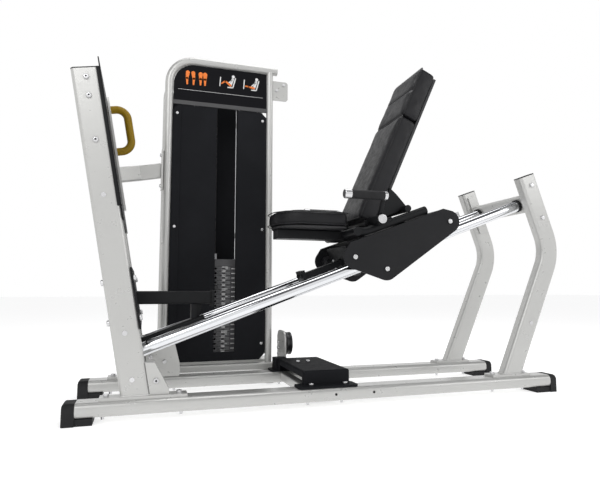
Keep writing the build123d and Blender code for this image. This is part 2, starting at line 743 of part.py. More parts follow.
def back_board():
    return back_block(66, 775, PAD_DEPTH, PAD_DEPTH + 12, BRACKET_Y)


def back_cushion():
    corners = [back_point(h, d) for h, d in ((0, 0), (62, PAD_DEPTH), (529, PAD_DEPTH), (529, 0))]
    pad = upright_plate([(c.X, c.Z) for c in corners], -PAD_HALF, PAD_HALF)
    return fillet(pad.edges(), 16)


def head_cushion():
    pad = back_block(532, 790, 0, PAD_DEPTH, PAD_HALF)
    return fillet(pad.edges(), 16)


def bracket_outline():
    low, high = back_point(68, PAD_DEPTH + 0.5), back_point(190, PAD_DEPTH + 0.5)
    return [(905, 722), (1112, 812), (1062, 866), (high.X, high.Z), (low.X, low.Z), (968, 767), (905, 744)]


def back_bracket(side):
    """Plate that stands on the crossbar and the rear tie and holds the back board's edge."""
    y0, y1 = sorted((side * BRACKET_Y, side * (BRACKET_Y + 8)))
    return upright_plate(bracket_outline(), y0, y1) - rod((940, -230, 740), (940, 230, 740), 20)


def grip_crossbar():
    bar = rod((940, -226, 740), (940, 226, 740), 20, 17)
    return bar - seat_tube(-1, True) - seat_tube(1, True)


def rear_tie():
    z = seat_slope_z(1092) + (SEAT_TUBE_R + 15) / cos(radians(GUIDE_ANGLE))
    bar = rod((1092, -172, z), (1092, 172, z), 15)
    for side in (-1, 1):
        bar -= upright_plate(bracket_outline(), *sorted((side * BRACKET_Y, side * (BRACKET_Y + 8))))
    return bar


def crossbar_caps():
    return [dome_head((940, side * 226, 740), (0, side, 0), 20, 6) for side in (-1, 1)]


def grip_arm(side):
    """Bent arm that carries a hand grip from the crossbar."""
    arm = rod((940, side * 196, 740), (930, side * 262, 829), 10)
    arm -= rod((940, -230, 740), (940, 230, 740), 20)
    return arm - rod((700, side * 265, 829), (1000, side * 265, 829), 19)


def hand_grip(side):
    return rod((783, side * 265, 829), (928, side * 265, 829), 19)


def grip_caps():
    caps = []
    for side in (-1, 1):
        front = rod((754, side * 265, 829), (783, side * 265, 829), 19)
        caps.append(fillet(front.edges().sort_by(Axis.X)[0], 5))
        rear = rod((928, side * 265, 829), (943, side * 265, 829), 19)
        caps.append(fillet(rear.edges().sort_by(Axis.X)[-1], 4))
    return caps


# ---- link between the frame and the tower ----
def link_tube():
    path = Polyline((-205, 216, 936), (-35, 330, 988), (66, 344, 1011))
    plane = Plane(path @ 0, x_dir=Vector(0, 0, 1), z_dir=path % 0)
    tube = sweep(section(plane, 70, 40, 8), path=path, transition=Transition.RIGHT)
    tube -= block(-400, 0, 100, 243, 800, 1100) + side_flange(1)
    return tube - block(65, 200, 200, 500, 800, 1100)


def link_flange():
    flange = block(65, 73.5, TOWER_Y - 30, TOWER_Y + 30, 918, 1107)
    return flange


def link_bolts():
    return [dome_head((65, TOWER_Y, z), (-1, 0, 0), 9, 7) for z in (1086, 937)]


# ---- the nodes ----
parts = {
    "base_rail_near": base_rail(-1),
    "base_rail_far": base_rail(1),
    "rubber_feet": rubber_feet() + tower_pads(),
    "base_plates": base_plates(-133, 160) + base_plates(1440, 1632),
    "base_fasteners": base_bolts((-112, 132, 1458, 1617), FOOT_PLATE_Z) + under_bolts()
    + rear_bolts()
    + housing_bolts() + bracket_bolts_low() + [rail_stop()],
    "footplate_post_near": footplate_post(-1),
    "footplate_post_far": footplate_post(1),
    "tube_caps": both(post_cap) + both(rear_leg_cap) + both(rail_collar),
    "footplate": footplate(),
    "footplate_frame": both(side_flange) + [cross_plate()],
    "handle_bracket": handle_bracket(),
    "entry_handle": entry_handle(),
    "post_bolts": cross_plate_bolts() + post_bolts() + post_plugs() + gusset_bolts() + link_bolts(),
    "lower_braces": both(gusset) + [lower_crossbar()],
    "stop_frame": [stop_arm(), stop_cap(), stop_beam(), stop_strut()],
    "guide_rails": both(guide_rail),
    "rear_leg_near": rear_leg(-1),
    "rear_leg_far": rear_leg(1),
    "rear_crossbar": [rear_crossbar()] + both(crossbar_end_plate),
    "housing_members": housing_members() + [pulley_bracket(), floor_axle()],
    "pulley_housing": pulley_housing() + housing_flange(),
    "floor_pulley": floor_pulley(),
    "link_tube": [link_tube(), link_flange()],
    "tower_front": [tower_arch(TOWER_Y), tower_column(TOWER_Y)],
    "tower_rear": [tower_arch(TOWER_REAR_Y), tower_column(TOWER_REAR_Y)],
    "tower_base": tower_base() + tower_feet_bars() + [stack_base()],
    "tower_ties": tower_ties() + [head_beam(), head_plate_bracket()]
    + pulley_cheeks(PULLEY_LEFT) + pulley_cheeks(PULLEY_RIGHT)
    + [tower_pulley_axle(PULLEY_LEFT), tower_pulley_axle(PULLEY_RIGHT)],
    "shroud_front": shroud_front(),
    "shroud_rear": shroud_rear(),
    "placard": placard(),
    "placard_lip": placard_lip(),
    "tower_fasteners": shroud_screws() + bracket_bolts(),
    "stack_guide_rods": rod_pair(TOWER_BASE_Z1, HEAD_Z + 15, ROD_R),
    "weight_plates": [stack_plate(i) for i in range(PLATE_COUNT - LIFTED_PLATES)],
    "lifted_plates": [stack_plate(i) for i in range(PLATE_COUNT - LIFTED_PLATES, PLATE_COUNT)] + [head_plate()],
    "selector_stem": [selector_stem()] + head_bushes(),
    "selector_pin": selector_pin(),
    "stack_cable": stack_cable(),
    "tower_cable": tower_cable(),
    "head_pulley_left": tower_pulley(PULLEY_LEFT),
    "head_pulley_right": tower_pulley(PULLEY_RIGHT),
    "sled_bar": [sled_bar(), sled_block()] + sled_bolts(),
    "carriage_plates": both(carriage_plate),
    "carriage_frame": carriage_cross_tubes() + sleeve_hangers() + [sled_sleeve(), front_crossplate()]
    + roller_axles(),
    "rollers_front": roller_pair("front"),
    "rollers_under": roller_pair("under"),
    "rollers_rear": roller_pair("rear"),
    "seat_tubes": both(seat_tube) + seat_tube_caps() + [seat_front_bar(), seat_beam()],
    "seat_boards": [seat_pan(), back_board()],
    "seat_cushion": seat_cushion(),
    "back_cushion": back_cushion(),
    "head_cushion": head_cushion(),
    "back_brackets": both(back_bracket),
    "seat_cross_tubes": [grip_crossbar(), rear_tie()] + both(grip_arm),
    "hand_grips": both(hand_grip),
    "grip_caps": grip_caps() + crossbar_caps(),
    "roller_bolts": roller_bolts() + crossplate_bolts(),
    "adjust_pin": adjust_pin(),
    "plate_labels": plate_labels(range(PLATE_COUNT - LIFTED_PLATES)),
    "lifted_labels": plate_labels(range(PLATE_COUNT - LIFTED_PLATES, PLATE_COUNT)),
}

# ---- export, with the origin at the bottom centre of the whole machine ----
for name, shape in parts.items():
    if isinstance(shape, list):
        parts[name] = Compound(children=shape)
whole = Compound(children=[Compound(shape.solids()) for shape in parts.values()]).bounding_box()
origin = Pos(-(whole.min.X + whole.max.X) / 2, -(whole.min.Y + whole.max.Y) / 2, -whole.min.Z)
print("origin shift", tuple(origin.position), "size", tuple(whole.size))
os.makedirs("parts", exist_ok=True)
for name, shape in parts.items():
    solids = [origin * solid for solid in shape.solids()]
    export_step(solids[0] if len(solids) == 1 else Compound(children=solids), f"parts/{name}.step")
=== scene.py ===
import json
import math

import bmesh
import bpy
from mathutils import Matrix, Vector


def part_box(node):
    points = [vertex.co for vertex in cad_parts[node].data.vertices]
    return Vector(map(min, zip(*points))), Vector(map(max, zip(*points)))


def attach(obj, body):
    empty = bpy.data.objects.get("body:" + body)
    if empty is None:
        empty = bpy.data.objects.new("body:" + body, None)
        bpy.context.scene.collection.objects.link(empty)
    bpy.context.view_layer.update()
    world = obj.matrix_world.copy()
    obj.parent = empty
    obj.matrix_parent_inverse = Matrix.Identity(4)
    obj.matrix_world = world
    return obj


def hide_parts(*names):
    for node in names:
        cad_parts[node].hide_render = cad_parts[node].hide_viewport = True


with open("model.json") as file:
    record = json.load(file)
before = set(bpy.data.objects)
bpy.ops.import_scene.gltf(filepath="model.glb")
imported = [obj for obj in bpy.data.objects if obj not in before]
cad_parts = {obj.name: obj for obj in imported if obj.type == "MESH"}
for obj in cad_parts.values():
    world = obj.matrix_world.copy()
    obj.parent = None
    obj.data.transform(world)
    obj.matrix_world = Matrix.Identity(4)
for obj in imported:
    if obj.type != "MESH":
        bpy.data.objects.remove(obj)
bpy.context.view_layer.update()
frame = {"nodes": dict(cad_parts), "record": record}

# Seated leg press. Metres, in the CAD model's own frame: +X from the footplate to the rear
# legs, -Y the near side. ORIGIN is where the machine's own design axes start in that frame:
# x at the camera, y on the mid plane between the base rails.
RAIL_NEAR, RAIL_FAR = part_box("base_rail_near"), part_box("base_rail_far")
MID_Y = (RAIL_NEAR[0][1] + RAIL_FAR[1][1]) / 2
ORIGIN = Vector((RAIL_NEAR[0][0] + 0.205, MID_Y, 0.0))
BACK_LEAN = math.radians(24.4)
GUIDE_ANGLE = math.radians(20.0)
TAU = 2 * math.pi


# ---------------------------------------------------------------- materials
def node(tree, kind, **values):
    made = tree.nodes.new(kind)
    for key, value in values.items():
        if key in made.inputs:
            made.inputs[key].default_value = value
        else:
            setattr(made, key, value)
    return made


def finish_material(name, colour, rough, metal=0.0, spread=0.06, grain=0.0, grain_scale=800.0,
                    cells=False, rough_spread=0.06, coat=0.0, brushed=None, edge=0.0012, wear=None,
                    specular=0.5, glow=0.0):
    """Principled surface with uneven colour and gloss, a fine grain and softened edges."""
    mat = bpy.data.materials.new(name)
    mat.use_nodes = True
    tree = mat.node_tree
    link = tree.links.new
    shader = tree.nodes["Principled BSDF"]
    shader.inputs["Metallic"].default_value = metal
    shader.inputs["Coat Weight"].default_value = coat
    shader.inputs["Coat Roughness"].default_value = 0.18
    shader.inputs["Specular IOR Level"].default_value = specular
    shader.inputs["Emission Color"].default_value = list(colour) + [1.0]
    shader.inputs["Emission Strength"].default_value = glow
    coords = node(tree, "ShaderNodeTexCoord")
    cloud = node(tree, "ShaderNodeTexNoise", Scale=5.0, Detail=5.0)
    link(coords.outputs["Object"], cloud.inputs["Vector"])
    tint = node(tree, "ShaderNodeValToRGB")
    for stop, factor in zip(tint.color_ramp.elements, (1 - spread, 1 + spread)):
        stop.color = [min(1.0, channel * factor) for channel in colour] + [1.0]
    tint.color_ramp.elements[0].position, tint.color_ramp.elements[1].position = 0.35, 0.65
    link(cloud.outputs["Fac"], tint.inputs["Fac"])
    colour_out = tint.outputs["Color"]
    smudge = node(tree, "ShaderNodeTexNoise", Scale=38.0, Detail=6.0)
    stretch = node(tree, "ShaderNodeMapping")
    if brushed:
        stretch.inputs["Scale"].default_value = brushed
    link(coords.outputs["Object"], stretch.inputs["Vector"])
    link(stretch.outputs["Vector"], smudge.inputs["Vector"])
    gloss = node(tree, "ShaderNodeMapRange")
    gloss.inputs["From Min"].default_value, gloss.inputs["From Max"].default_value = 0.3, 0.7
    gloss.inputs["To Min"].default_value = max(0.02, rough - rough_spread)
    gloss.inputs["To Max"].default_value = rough + rough_spread
    link(smudge.outputs["Fac"], gloss.inputs["Value"])
    link(gloss.outputs["Result"], shader.inputs["Roughness"])
    soft = node(tree, "ShaderNodeBevel", Radius=edge)
    soft.samples = 4
    if wear:
        geometry = node(tree, "ShaderNodeNewGeometry")
        worn = node(tree, "ShaderNodeMapRange")
        worn.inputs["From Min"].default_value, worn.inputs["From Max"].default_value = 0.53, 0.62
        mix = node(tree, "ShaderNodeMix", data_type="RGBA")
        link(geometry.outputs["Pointiness"], worn.inputs["Value"])
        link(worn.outputs["Result"], mix.inputs["Factor"])
        link(colour_out, mix.inputs["A"])
        mix.inputs["B"].default_value = list(wear) + [1.0]
        colour_out = mix.outputs["Result"]
    link(colour_out, shader.inputs["Base Color"])
    if grain:
        texture = node(tree, "ShaderNodeTexVoronoi" if cells else "ShaderNodeTexNoise", Scale=grain_scale)
        link(coords.outputs["Object"], texture.inputs["Vector"])
        bump = node(tree, "ShaderNodeBump", Strength=0.6, Distance=grain)
        link(texture.outputs["Distance" if cells else "Fac"], bump.inputs["Height"])
        link(soft.outputs["Normal"], bump.inputs["Normal"])
        link(bump.outputs["Normal"], shader.inputs["Normal"])
    else:
        link(soft.outputs["Normal"], shader.inputs["Normal"])
    return mat


SILVER = finish_material("silver_coat", (0.48, 0.48, 0.468), 0.30, 0.35, spread=0.015, rough_spread=0.03,
                         coat=0.15)
BLACK = finish_material("black_coat", (0.008, 0.0085, 0.0095), 0.46, spread=0.12, grain=0.00018,
                        grain_scale=1500, specular=0.16)
PLATE_BLACK = finish_material("plate_black", (0.012, 0.0122, 0.0136), 0.52, spread=0.08, grain=0.0002,
                              grain_scale=1800, specular=0.16)
RUBBER = finish_material("rubber", (0.011, 0.011, 0.012), 0.68, spread=0.12, grain=0.0004, grain_scale=500,
                         specular=0.3)
VINYL = finish_material("vinyl", (0.010, 0.010, 0.0115), 0.42, spread=0.1, grain=0.0003, grain_scale=620,
                        cells=True, rough_spread=0.08, specular=0.22)
THREAD = finish_material("thread", (0.05, 0.05, 0.055), 0.7, grain=0.0003, grain_scale=900)
BOARD = finish_material("board", (0.02, 0.02, 0.022), 0.6, grain=0.0003, grain_scale=400)
MUSTARD = finish_material("mustard", (0.25, 0.155, 0.004), 0.42, spread=0.12, grain=0.0003, grain_scale=420,
                          specular=0.2)
CHROME = finish_material("chrome", (0.72, 0.73, 0.75), 0.1, 1.0, spread=0.02, rough_spread=0.04,
                         brushed=(0.3, 6, 6), edge=0.0006)
ZINC = finish_material("zinc", (0.62, 0.62, 0.63), 0.26, 1.0, spread=0.06, rough_spread=0.1,
                       grain=0.0001, grain_scale=900, edge=0.0008)
SHROUD = finish_material("shroud", (0.013, 0.0135, 0.0155), 0.62, spread=0.1, grain=0.00016,
                         grain_scale=1700, specular=0.04)
PANEL = finish_material("panel", (0.008, 0.008, 0.0095), 0.5, spread=0.1, specular=0.04)
GREY = finish_material("grey_trim", (0.05, 0.05, 0.052), 0.5, grain=0.0002, grain_scale=900)
IRON = finish_material("stack_iron", (0.02, 0.02, 0.022), 0.45, 0.3, spread=0.15, grain=0.0004,
                       grain_scale=380, wear=(0.10, 0.10, 0.105))
STEEL = finish_material("ground_steel", (0.5, 0.5, 0.52), 0.3, 1.0, brushed=(8, 8, 0.4))
CABLE = finish_material("cable", (0.012, 0.012, 0.012), 0.3, grain=0.0002, grain_scale=700)
LABEL = finish_material("label", (0.16, 0.16, 0.165), 0.5, spread=0.08)
WHITE = finish_material("print_white", (0.7, 0.7, 0.7), 0.5, spread=0.02)
ORANGE = finish_material("print_orange", (0.75, 0.17, 0.012), 0.5, spread=0.05)
MOULDED = finish_material("moulded", (0.018, 0.018, 0.02), 0.32, grain=0.0002, grain_scale=500)
WELD = finish_material("weld", (0.62, 0.62, 0.61), 0.42, 0.25, grain=0.0008, grain_scale=320)
# painted shade: near-black finish for the hexagons that stand in for the shade inside key recesses
RECESS_SHADE = finish_material("socket", (0.05, 0.05, 0.055), 0.5, 0.8)

BY_SLOT = {
    "frame_paint": SILVER, "black_paint": BLACK, "rubber": RUBBER, "vinyl": VINYL, "board": BOARD,
    "handle_paint": MUSTARD, "chrome": CHROME, "bolt_steel": ZINC, "shroud": SHROUD, "placard": PANEL,
    "grey_trim": GREY, "stack_paint": IRON, "steel": STEEL, "cable": CABLE, "label": LABEL,
    "roller": MOULDED, "knob": MOULDED,
}
BY_NODE = {"carriage_plates": PLATE_BLACK}
SMOOTH_ANGLE = math.radians(32)


def dress_frame():
    """Every CAD node takes the material of its slot."""
    slots = {entry["node"]: entry["material_slot"] for entry in frame["record"]["subparts"]}
    for name, piece in frame["nodes"].items():
        chosen = BY_NODE.get(name, BY_SLOT[slots[name]])
        for place in piece.material_slots:
            place.material = chosen


# ---------------------------------------------------------------- mesh helpers
def make(name, mesh, body, material):
    """A new piece in the row frame that rides on a body."""
    piece = bpy.data.objects.new(name, mesh)
    bpy.context.scene.collection.objects.link(piece)
    mesh.materials.clear()
    mesh.materials.append(material)
    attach(piece, body)
    return piece


def mesh_from(name, bm, smooth=True):
    mesh = bpy.data.meshes.new(name)
    bmesh.ops.recalc_face_normals(bm, faces=bm.faces[:])
    bm.to_mesh(mesh)
    bm.free()
    if smooth:
        mesh.shade_smooth()
    return mesh


def lathe(bm, profile, origin, axis, steps=32):
    """Adds a turned solid: profile is (distance along the axis, radius) from end to end."""
    axis = Vector(axis).normalized()
    side = axis.orthogonal().normalized()
    other = axis.cross(side)
    rings = []
    for along, radius in profile:
        ring = []
        for step in range(steps):
            angle = TAU * step / steps
            offset = side * math.cos(angle) * radius + other * math.sin(angle) * radius
            ring.append(bm.verts.new(Vector(origin) + axis * along + offset))
        rings.append(ring)
    for low, high in zip(rings, rings[1:]):
        for step in range(steps):
            bm.faces.new((low[step], low[(step + 1) % steps], high[(step + 1) % steps], high[step]))
    bm.faces.new(rings[0][::-1])
    bm.faces.new(rings[-1])


def tube(bm, points, radius, closed=False, steps=10):
    """Adds a round tube through points."""
    points = [Vector(point) for point in points]
    count = len(points)
    rings = []
    normal = None
    for index, point in enumerate(points):
        before = points[(index - 1) % count] if closed or index else point
        after = points[(index + 1) % count] if closed or index < count - 1 else point
        along = (after - before).normalized()
        if normal is None:
            normal = along.orthogonal().normalized()
        normal = (normal - along * normal.dot(along)).normalized()
        other = along.cross(normal)
        rings.append([
            bm.verts.new(point + (normal * math.cos(TAU * s / steps) + other * math.sin(TAU * s / steps)) * radius)
            for s in range(steps)
        ])
    pairs = list(zip(rings, rings[1:] + rings[:1])) if closed else list(zip(rings, rings[1:]))
    for low, high in pairs:
        for step in range(steps):
            bm.faces.new((low[step], low[(step + 1) % steps], high[(step + 1) % steps], high[step]))
    if not closed:
        bm.faces.new(rings[0][::-1])
        bm.faces.new(rings[-1])


def rounded_outline(x0, x1, y0, y1, radii, steps=10):
    """Corner-rounded rectangle, radii in the order x0y0, x1y0, x1y1, x0y1."""
    corners = ((x0, y0, 1, 1, 180), (x1, y0, -1, 1, 270), (x1, y1, -1, -1, 0), (x0, y1, 1, -1, 90))
    points = []
    for (x, y, dx, dy, start), radius in zip(corners, radii):
        cx, cy = x + dx * radius, y + dy * radius
        for step in range(steps + 1):
            angle = math.radians(start + 90 * step / steps)
            points.append((cx + radius * math.cos(angle), cy + radius * math.sin(angle)))
    return points


# ---------------------------------------------------------------- cushions
def inflate(mesh, pressure, cap, voxel):
    """Swells a closed mesh with Cloth, with no point moving further than cap."""
    trial = bpy.data.objects.new("trial", mesh)
    bpy.context.scene.collection.objects.link(trial)
    remesh = trial.modifiers.new("remesh", "REMESH")
    remesh.mode = "VOXEL"
    remesh.voxel_size = voxel
    depsgraph = bpy.context.evaluated_depsgraph_get()
    solid = bpy.data.meshes.new_from_object(trial.evaluated_get(depsgraph))
    trial.modifiers.clear()
    trial.data = solid
    start = [vertex.co.copy() for vertex in solid.vertices]
    cloth = trial.modifiers.new("cloth", "CLOTH")
    cloth.settings.use_pressure = True
    cloth.settings.uniform_pressure_force = pressure
    cloth.settings.effector_weights.gravity = 0.0
    cloth.settings.quality = 5
    cloth.point_cache.frame_start, cloth.point_cache.frame_end = 1, 20
    for step in range(1, 21):
        bpy.context.scene.frame_set(step)
    depsgraph = bpy.context.evaluated_depsgraph_get()
    swollen = bpy.data.meshes.new_from_object(trial.evaluated_get(depsgraph))
    for vertex, place in zip(swollen.vertices, start):
        move = vertex.co - place
        if move.length > cap:
            vertex.co = place + move * (cap / move.length)
    bpy.context.scene.frame_set(1)
    bpy.data.objects.remove(trial)
    return swollen


def smooth_mesh(mesh, rounds):
    bm = bmesh.new()
    bm.from_mesh(mesh)
    for _ in range(rounds):
        bmesh.ops.smooth_vert(bm, verts=bm.verts, factor=0.5, use_axis_x=True, use_axis_y=True, use_axis_z=True)
    bm.to_mesh(mesh)
    bm.free()


def cushion(name, cad_node, outline, low, high, place, crown, channels=(), cap=0.006, tuck=0.965):
    """Padded block over an outline, low to high in its own z, put in place by a matrix.

    channels are lines ((x0, y0), (x1, y1)) sewn down into its top."""
    bm = bmesh.new()
    inset = cap * 0.8
    middle = Vector((sum(p[0] for p in outline) / len(outline), sum(p[1] for p in outline) / len(outline)))
    levels = ((low + inset, 0.975), (low + inset + (high - low) * 0.18, 0.995), (low + (high - low) * 0.62, 0.995),
              (high - inset - (high - low) * 0.1, (1 + tuck) / 2), (high - inset, tuck))
    rings = []
    for z, scale in levels:
        ring = []
        for x, y in outline:
            offset = (Vector((x, y)) - middle) * scale
            px, py = middle.x + offset.x, middle.y + offset.y
            ring.append(bm.verts.new((px, py, z)))
        rings.append(ring)
    count = len(outline)
    for below, above in zip(rings, rings[1:]):
        for step in range(count):
            bm.faces.new((below[step], below[(step + 1) % count], above[(step + 1) % count], above[step]))
    bm.faces.new(rings[0][::-1])
    bm.faces.new(rings[-1])
    shell = mesh_from(name + "_shell", bm)
    mesh = inflate(shell, 4.0, cap, 0.006)
    smooth_mesh(mesh, 3)
    for vertex in mesh.vertices:
        x, y, z = vertex.co
        if z > (low + high) / 2:
            reach = min(1.0, max(0.0, 1 - max(abs(x - middle.x) / extent(outline, 0), abs(y - middle.y) / extent(outline, 1))))
            vertex.co.z += crown * math.sin(min(1.0, reach * 3.0) * math.pi / 2)
            for (x0, y0), (x1, y1) in channels:
                line = Vector((x1 - x0, y1 - y0))
                away = abs(line.x * (y - y0) - line.y * (x - x0)) / line.length
                vertex.co.z -= 0.0055 * math.exp(-((away / 0.007) ** 2))
    mesh.transform(place)
    piece = make(name, mesh, "carriage", VINYL)
    mesh.shade_smooth()
    subdivision = piece.modifiers.new("soft", "SUBSURF")
    subdivision.levels = subdivision.render_levels = 1
    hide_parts(cad_node)
    return piece


def extent(outline, index):
    values = [point[index] for point in outline]
    return (max(values) - min(values)) / 2


def piping(name, outline, z, place, radius=0.0022, scale=1.0):
    """Sewn edge cord round a cushion."""
    middle = Vector((sum(p[0] for p in outline) / len(outline), sum(p[1] for p in outline) / len(outline)))
    points = []
    for x, y in outline:
        offset = (Vector((x, y)) - middle) * scale
        points.append((middle.x + offset.x, middle.y + offset.y, z))
    bm = bmesh.new()
    tube(bm, points, radius, closed=True, steps=8)
    mesh = mesh_from(name, bm)
    mesh.transform(place)
    return make(name, mesh, "carriage", VINYL)


def stitches(name, start, end, z, place, body="carriage", pitch=0.007):
    """A row of short threads along a line."""
    start, end = Vector((*start, z)), Vector((*end, z))
    count = int((end - start).length / pitch)
    bm = bmesh.new()
    for index in range(count):
        first = start.lerp(end, (index + 0.15) / count)
        last = start.lerp(end, (index + 0.75) / count)
        middle = first.lerp(last, 0.5) + Vector((0, 0, 0.0004))
        tube(bm, (first, middle, last), 0.0006, steps=6)
    mesh = mesh_from(name, bm)
    mesh.transform(place)
    return make(name, mesh, body, THREAD)


def build_seat():
    low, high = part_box("seat_cushion")
    outline = rounded_outline(low[0], high[0], low[1], high[1], (0.128, 0.03, 0.03, 0.128))
    place = Matrix.Identity(4)
    top = high[2] - 0.006
    cushion("seat_pad", "seat_cushion", outline, low[2], top, place, 0.006)
    piping("seat_piping_low", outline, low[2] + 0.007, place, scale=0.992)
    piping("seat_piping_top", outline, top - 0.004, place, scale=0.985)
    build_beam_plug()


def build_beam_plug():
    """Plastic plug in the open front end of the seat's middle beam."""
    low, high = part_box("seat_tubes")
    half_width, half_height, centre_z = 0.036, 0.017, 0.687
    bm = bmesh.new()
    rings = []
    for x, scale in ((low[0] + 0.012, 1.0), (low[0] + 0.001, 1.0), (low[0] - 0.0005, 0.94)):
        outline = rounded_outline(-half_width * scale, half_width * scale, -half_height * scale,
                                  half_height * scale, (0.005,) * 4, steps=4)
        rings.append([bm.verts.new((x, MID_Y + y, centre_z + z)) for y, z in outline])
    count = len(rings[0])
    for first, last in zip(rings, rings[1:]):
        for step in range(count):
            bm.faces.new((first[step], first[(step + 1) % count], last[(step + 1) % count], last[step]))
    bm.faces.new(rings[0][::-1])
    bm.faces.new(rings[-1])
    make("seat_beam_plug", mesh_from("seat_beam_plug", bm, False), "carriage", BOARD)


def back_frame():
    """Matrix whose x runs up the backrest, y across it and z out of its front face."""
    start = Vector((ORIGIN.x + 0.873, MID_Y, 0.757))
    up = Vector((math.sin(BACK_LEAN), 0, math.cos(BACK_LEAN)))
    out = Vector((-math.cos(BACK_LEAN), 0, math.sin(BACK_LEAN)))
    across = out.cross(up)
    matrix = Matrix.Identity(4)
    for column, axis in enumerate((up, across, out)):
        for row in range(3):
            matrix[row][column] = axis[row]
    return Matrix.Translation(start) @ matrix


def build_back():
    place = back_frame()
    half = 0.135
    main = rounded_outline(0.004, 0.5305, -half, half, (0.016,) * 4)
    cushion("back_pad", "back_cushion", main, -0.084, -0.001, place, 0.003, cap=0.003, tuck=0.985)
    piping("back_piping", main, -0.009, place, scale=0.993)
    head = rounded_outline(0.531, 0.7895, -half, half, (0.016,) * 4)
    fold = 0.532 + 0.132
    cushion("head_pad", "head_cushion", head, -0.084, -0.001, place, 0.003, cap=0.003, tuck=0.985,
            channels=(((fold, -half), (fold, half)),))
    piping("head_piping", head, -0.009, place, scale=0.992)
    for offset in (-0.004, 0.004):
        stitches(f"head_stitch_{'low' if offset < 0 else 'high'}", (fold + offset, -half + 0.03),
                 (fold + offset, half - 0.03), -0.0005, place)


# ---------------------------------------------------------------- grips and small parts
def build_grips():
    """Ribbed rubber sleeves with turned end beads in place of the plain grips."""
    low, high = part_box("hand_grips")
    radius = 0.019
    length = high[0] - low[0]
    z = (low[2] + high[2]) / 2
    profile = [(0.0, radius - 0.003), (0.001, radius - 0.0005), (0.006, radius - 0.0005)]
    ribs = 24
    start, span = 0.008, length - 0.016
    for index in range(ribs):
        for share, depth in ((0.0, 0.0022), (0.22, 0.0008), (0.5, 0.0005), (0.78, 0.0008)):
            profile.append((start + span * (index + share) / ribs, radius - depth))
    profile += [(length - 0.006, radius - 0.0005), (length - 0.001, radius - 0.0005), (length, radius - 0.003)]
    bm = bmesh.new()
    for y in (low[1] + radius, high[1] - radius):
        lathe(bm, profile, (low[0], y, z), (1, 0, 0))
    piece = make("grip_sleeves", mesh_from("grip_sleeves", bm), "carriage", RUBBER)
    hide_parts("hand_grips")


def islands(piece):
    """Box and centre of each separate solid in a node's mesh."""
    bm = bmesh.new()
    bm.from_mesh(piece.data)
    seen, found = set(), []
    for vertex in bm.verts:
        if vertex.index in seen:
            continue
        stack, group = [vertex], []
        seen.add(vertex.index)
        while stack:
            current = stack.pop()
            group.append(current.co.copy())
            for edge in current.link_edges:
                other = edge.other_vert(current)
                if other.index not in seen:
                    seen.add(other.index)
                    stack.append(other)
        found.append(group)
    bm.free()
    return found


def hex_recess_shade(bm, centre, axis, radius):
    """Thin dark hexagonal slab, 0.3 mm proud of a head: painted shade standing in for a hexagonal key recess, seen
    as a dark hexagon.
    """
    axis = Vector(axis).normalized()
    side = axis.orthogonal().normalized()
    other = axis.cross(side)
    ring = [
        centre + (side * math.cos(TAU * s / 6) + other * math.sin(TAU * s / 6)) * radius for s in range(6)
    ]
    low = [bm.verts.new(point - axis * 0.001) for point in ring]
    high = [bm.verts.new(point + axis * 0.0003) for point in ring]
    for step in range(6):
        bm.faces.new((low[step], low[(step + 1) % 6], high[(step + 1) % 6], high[step]))
    bm.faces.new(low[::-1])
    bm.faces.new(high)


def build_recess_shades():
    """Painted shade of the key recesses in the frame's heads that face out along Y, drawn as dark hexagons."""
    bm = bmesh.new()
    for group in islands(frame["nodes"]["post_bolts"]):
        low = Vector([min(point[i] for point in group) for i in range(3)])
        high = Vector([max(point[i] for point in group) for i in range(3)])
        size, centre = high - low, (low + high) / 2
        if size.y > min(size.x, size.z) * 0.75 or size.y < 0.004:
            continue
        near = centre.y < MID_Y or (size.y < 0.0085 and abs(centre.y - MID_Y) < 0.2)
        side = -1 if near else 1
        face = Vector((centre.x, low.y if near else high.y, centre.z))
        hex_recess_shade(bm, face, (0, side, 0), 0.0042)
    make("post_bolt_recess_shades", mesh_from("post_bolt_recess_shades", bm, False), "frame", RECESS_SHADE)


# ---------------------------------------------------------------- placard art
def flat_shape(bm, points, y, thickness=0.0006):
    """Thin raised shape of (x, z) points, facing -Y."""
    front = [bm.verts.new((x, y - thickness, z)) for x, z in points]
    back = [bm.verts.new((x, y, z)) for x, z in points]
    count = len(points)
    bm.faces.new(front)
    bm.faces.new(back[::-1])
    for step in range(count):
        bm.faces.new((front[step], back[step], back[(step + 1) % count], front[(step + 1) % count]))


def disc(x, z, radius, steps=20):
    return [(x + radius * math.cos(TAU * s / steps), z + radius * math.sin(TAU * s / steps)) for s in range(steps)]


def limb(x0, z0, x1, z1, width, end_width=None):
    """Rounded bar from one point to another, tapered to end_width."""
    end_width = end_width or width
    angle = math.atan2(z1 - z0, x1 - x0)
    points = []
    for step in range(9):
        turn = angle + math.pi / 2 + math.pi * step / 8
        points.append((x0 + math.cos(turn) * width / 2, z0 + math.sin(turn) * width / 2))
    for step in range(9):
        turn = angle - math.pi / 2 + math.pi * step / 8
        points.append((x1 + math.cos(turn) * end_width / 2, z1 + math.sin(turn) * end_width / 2))
    return points


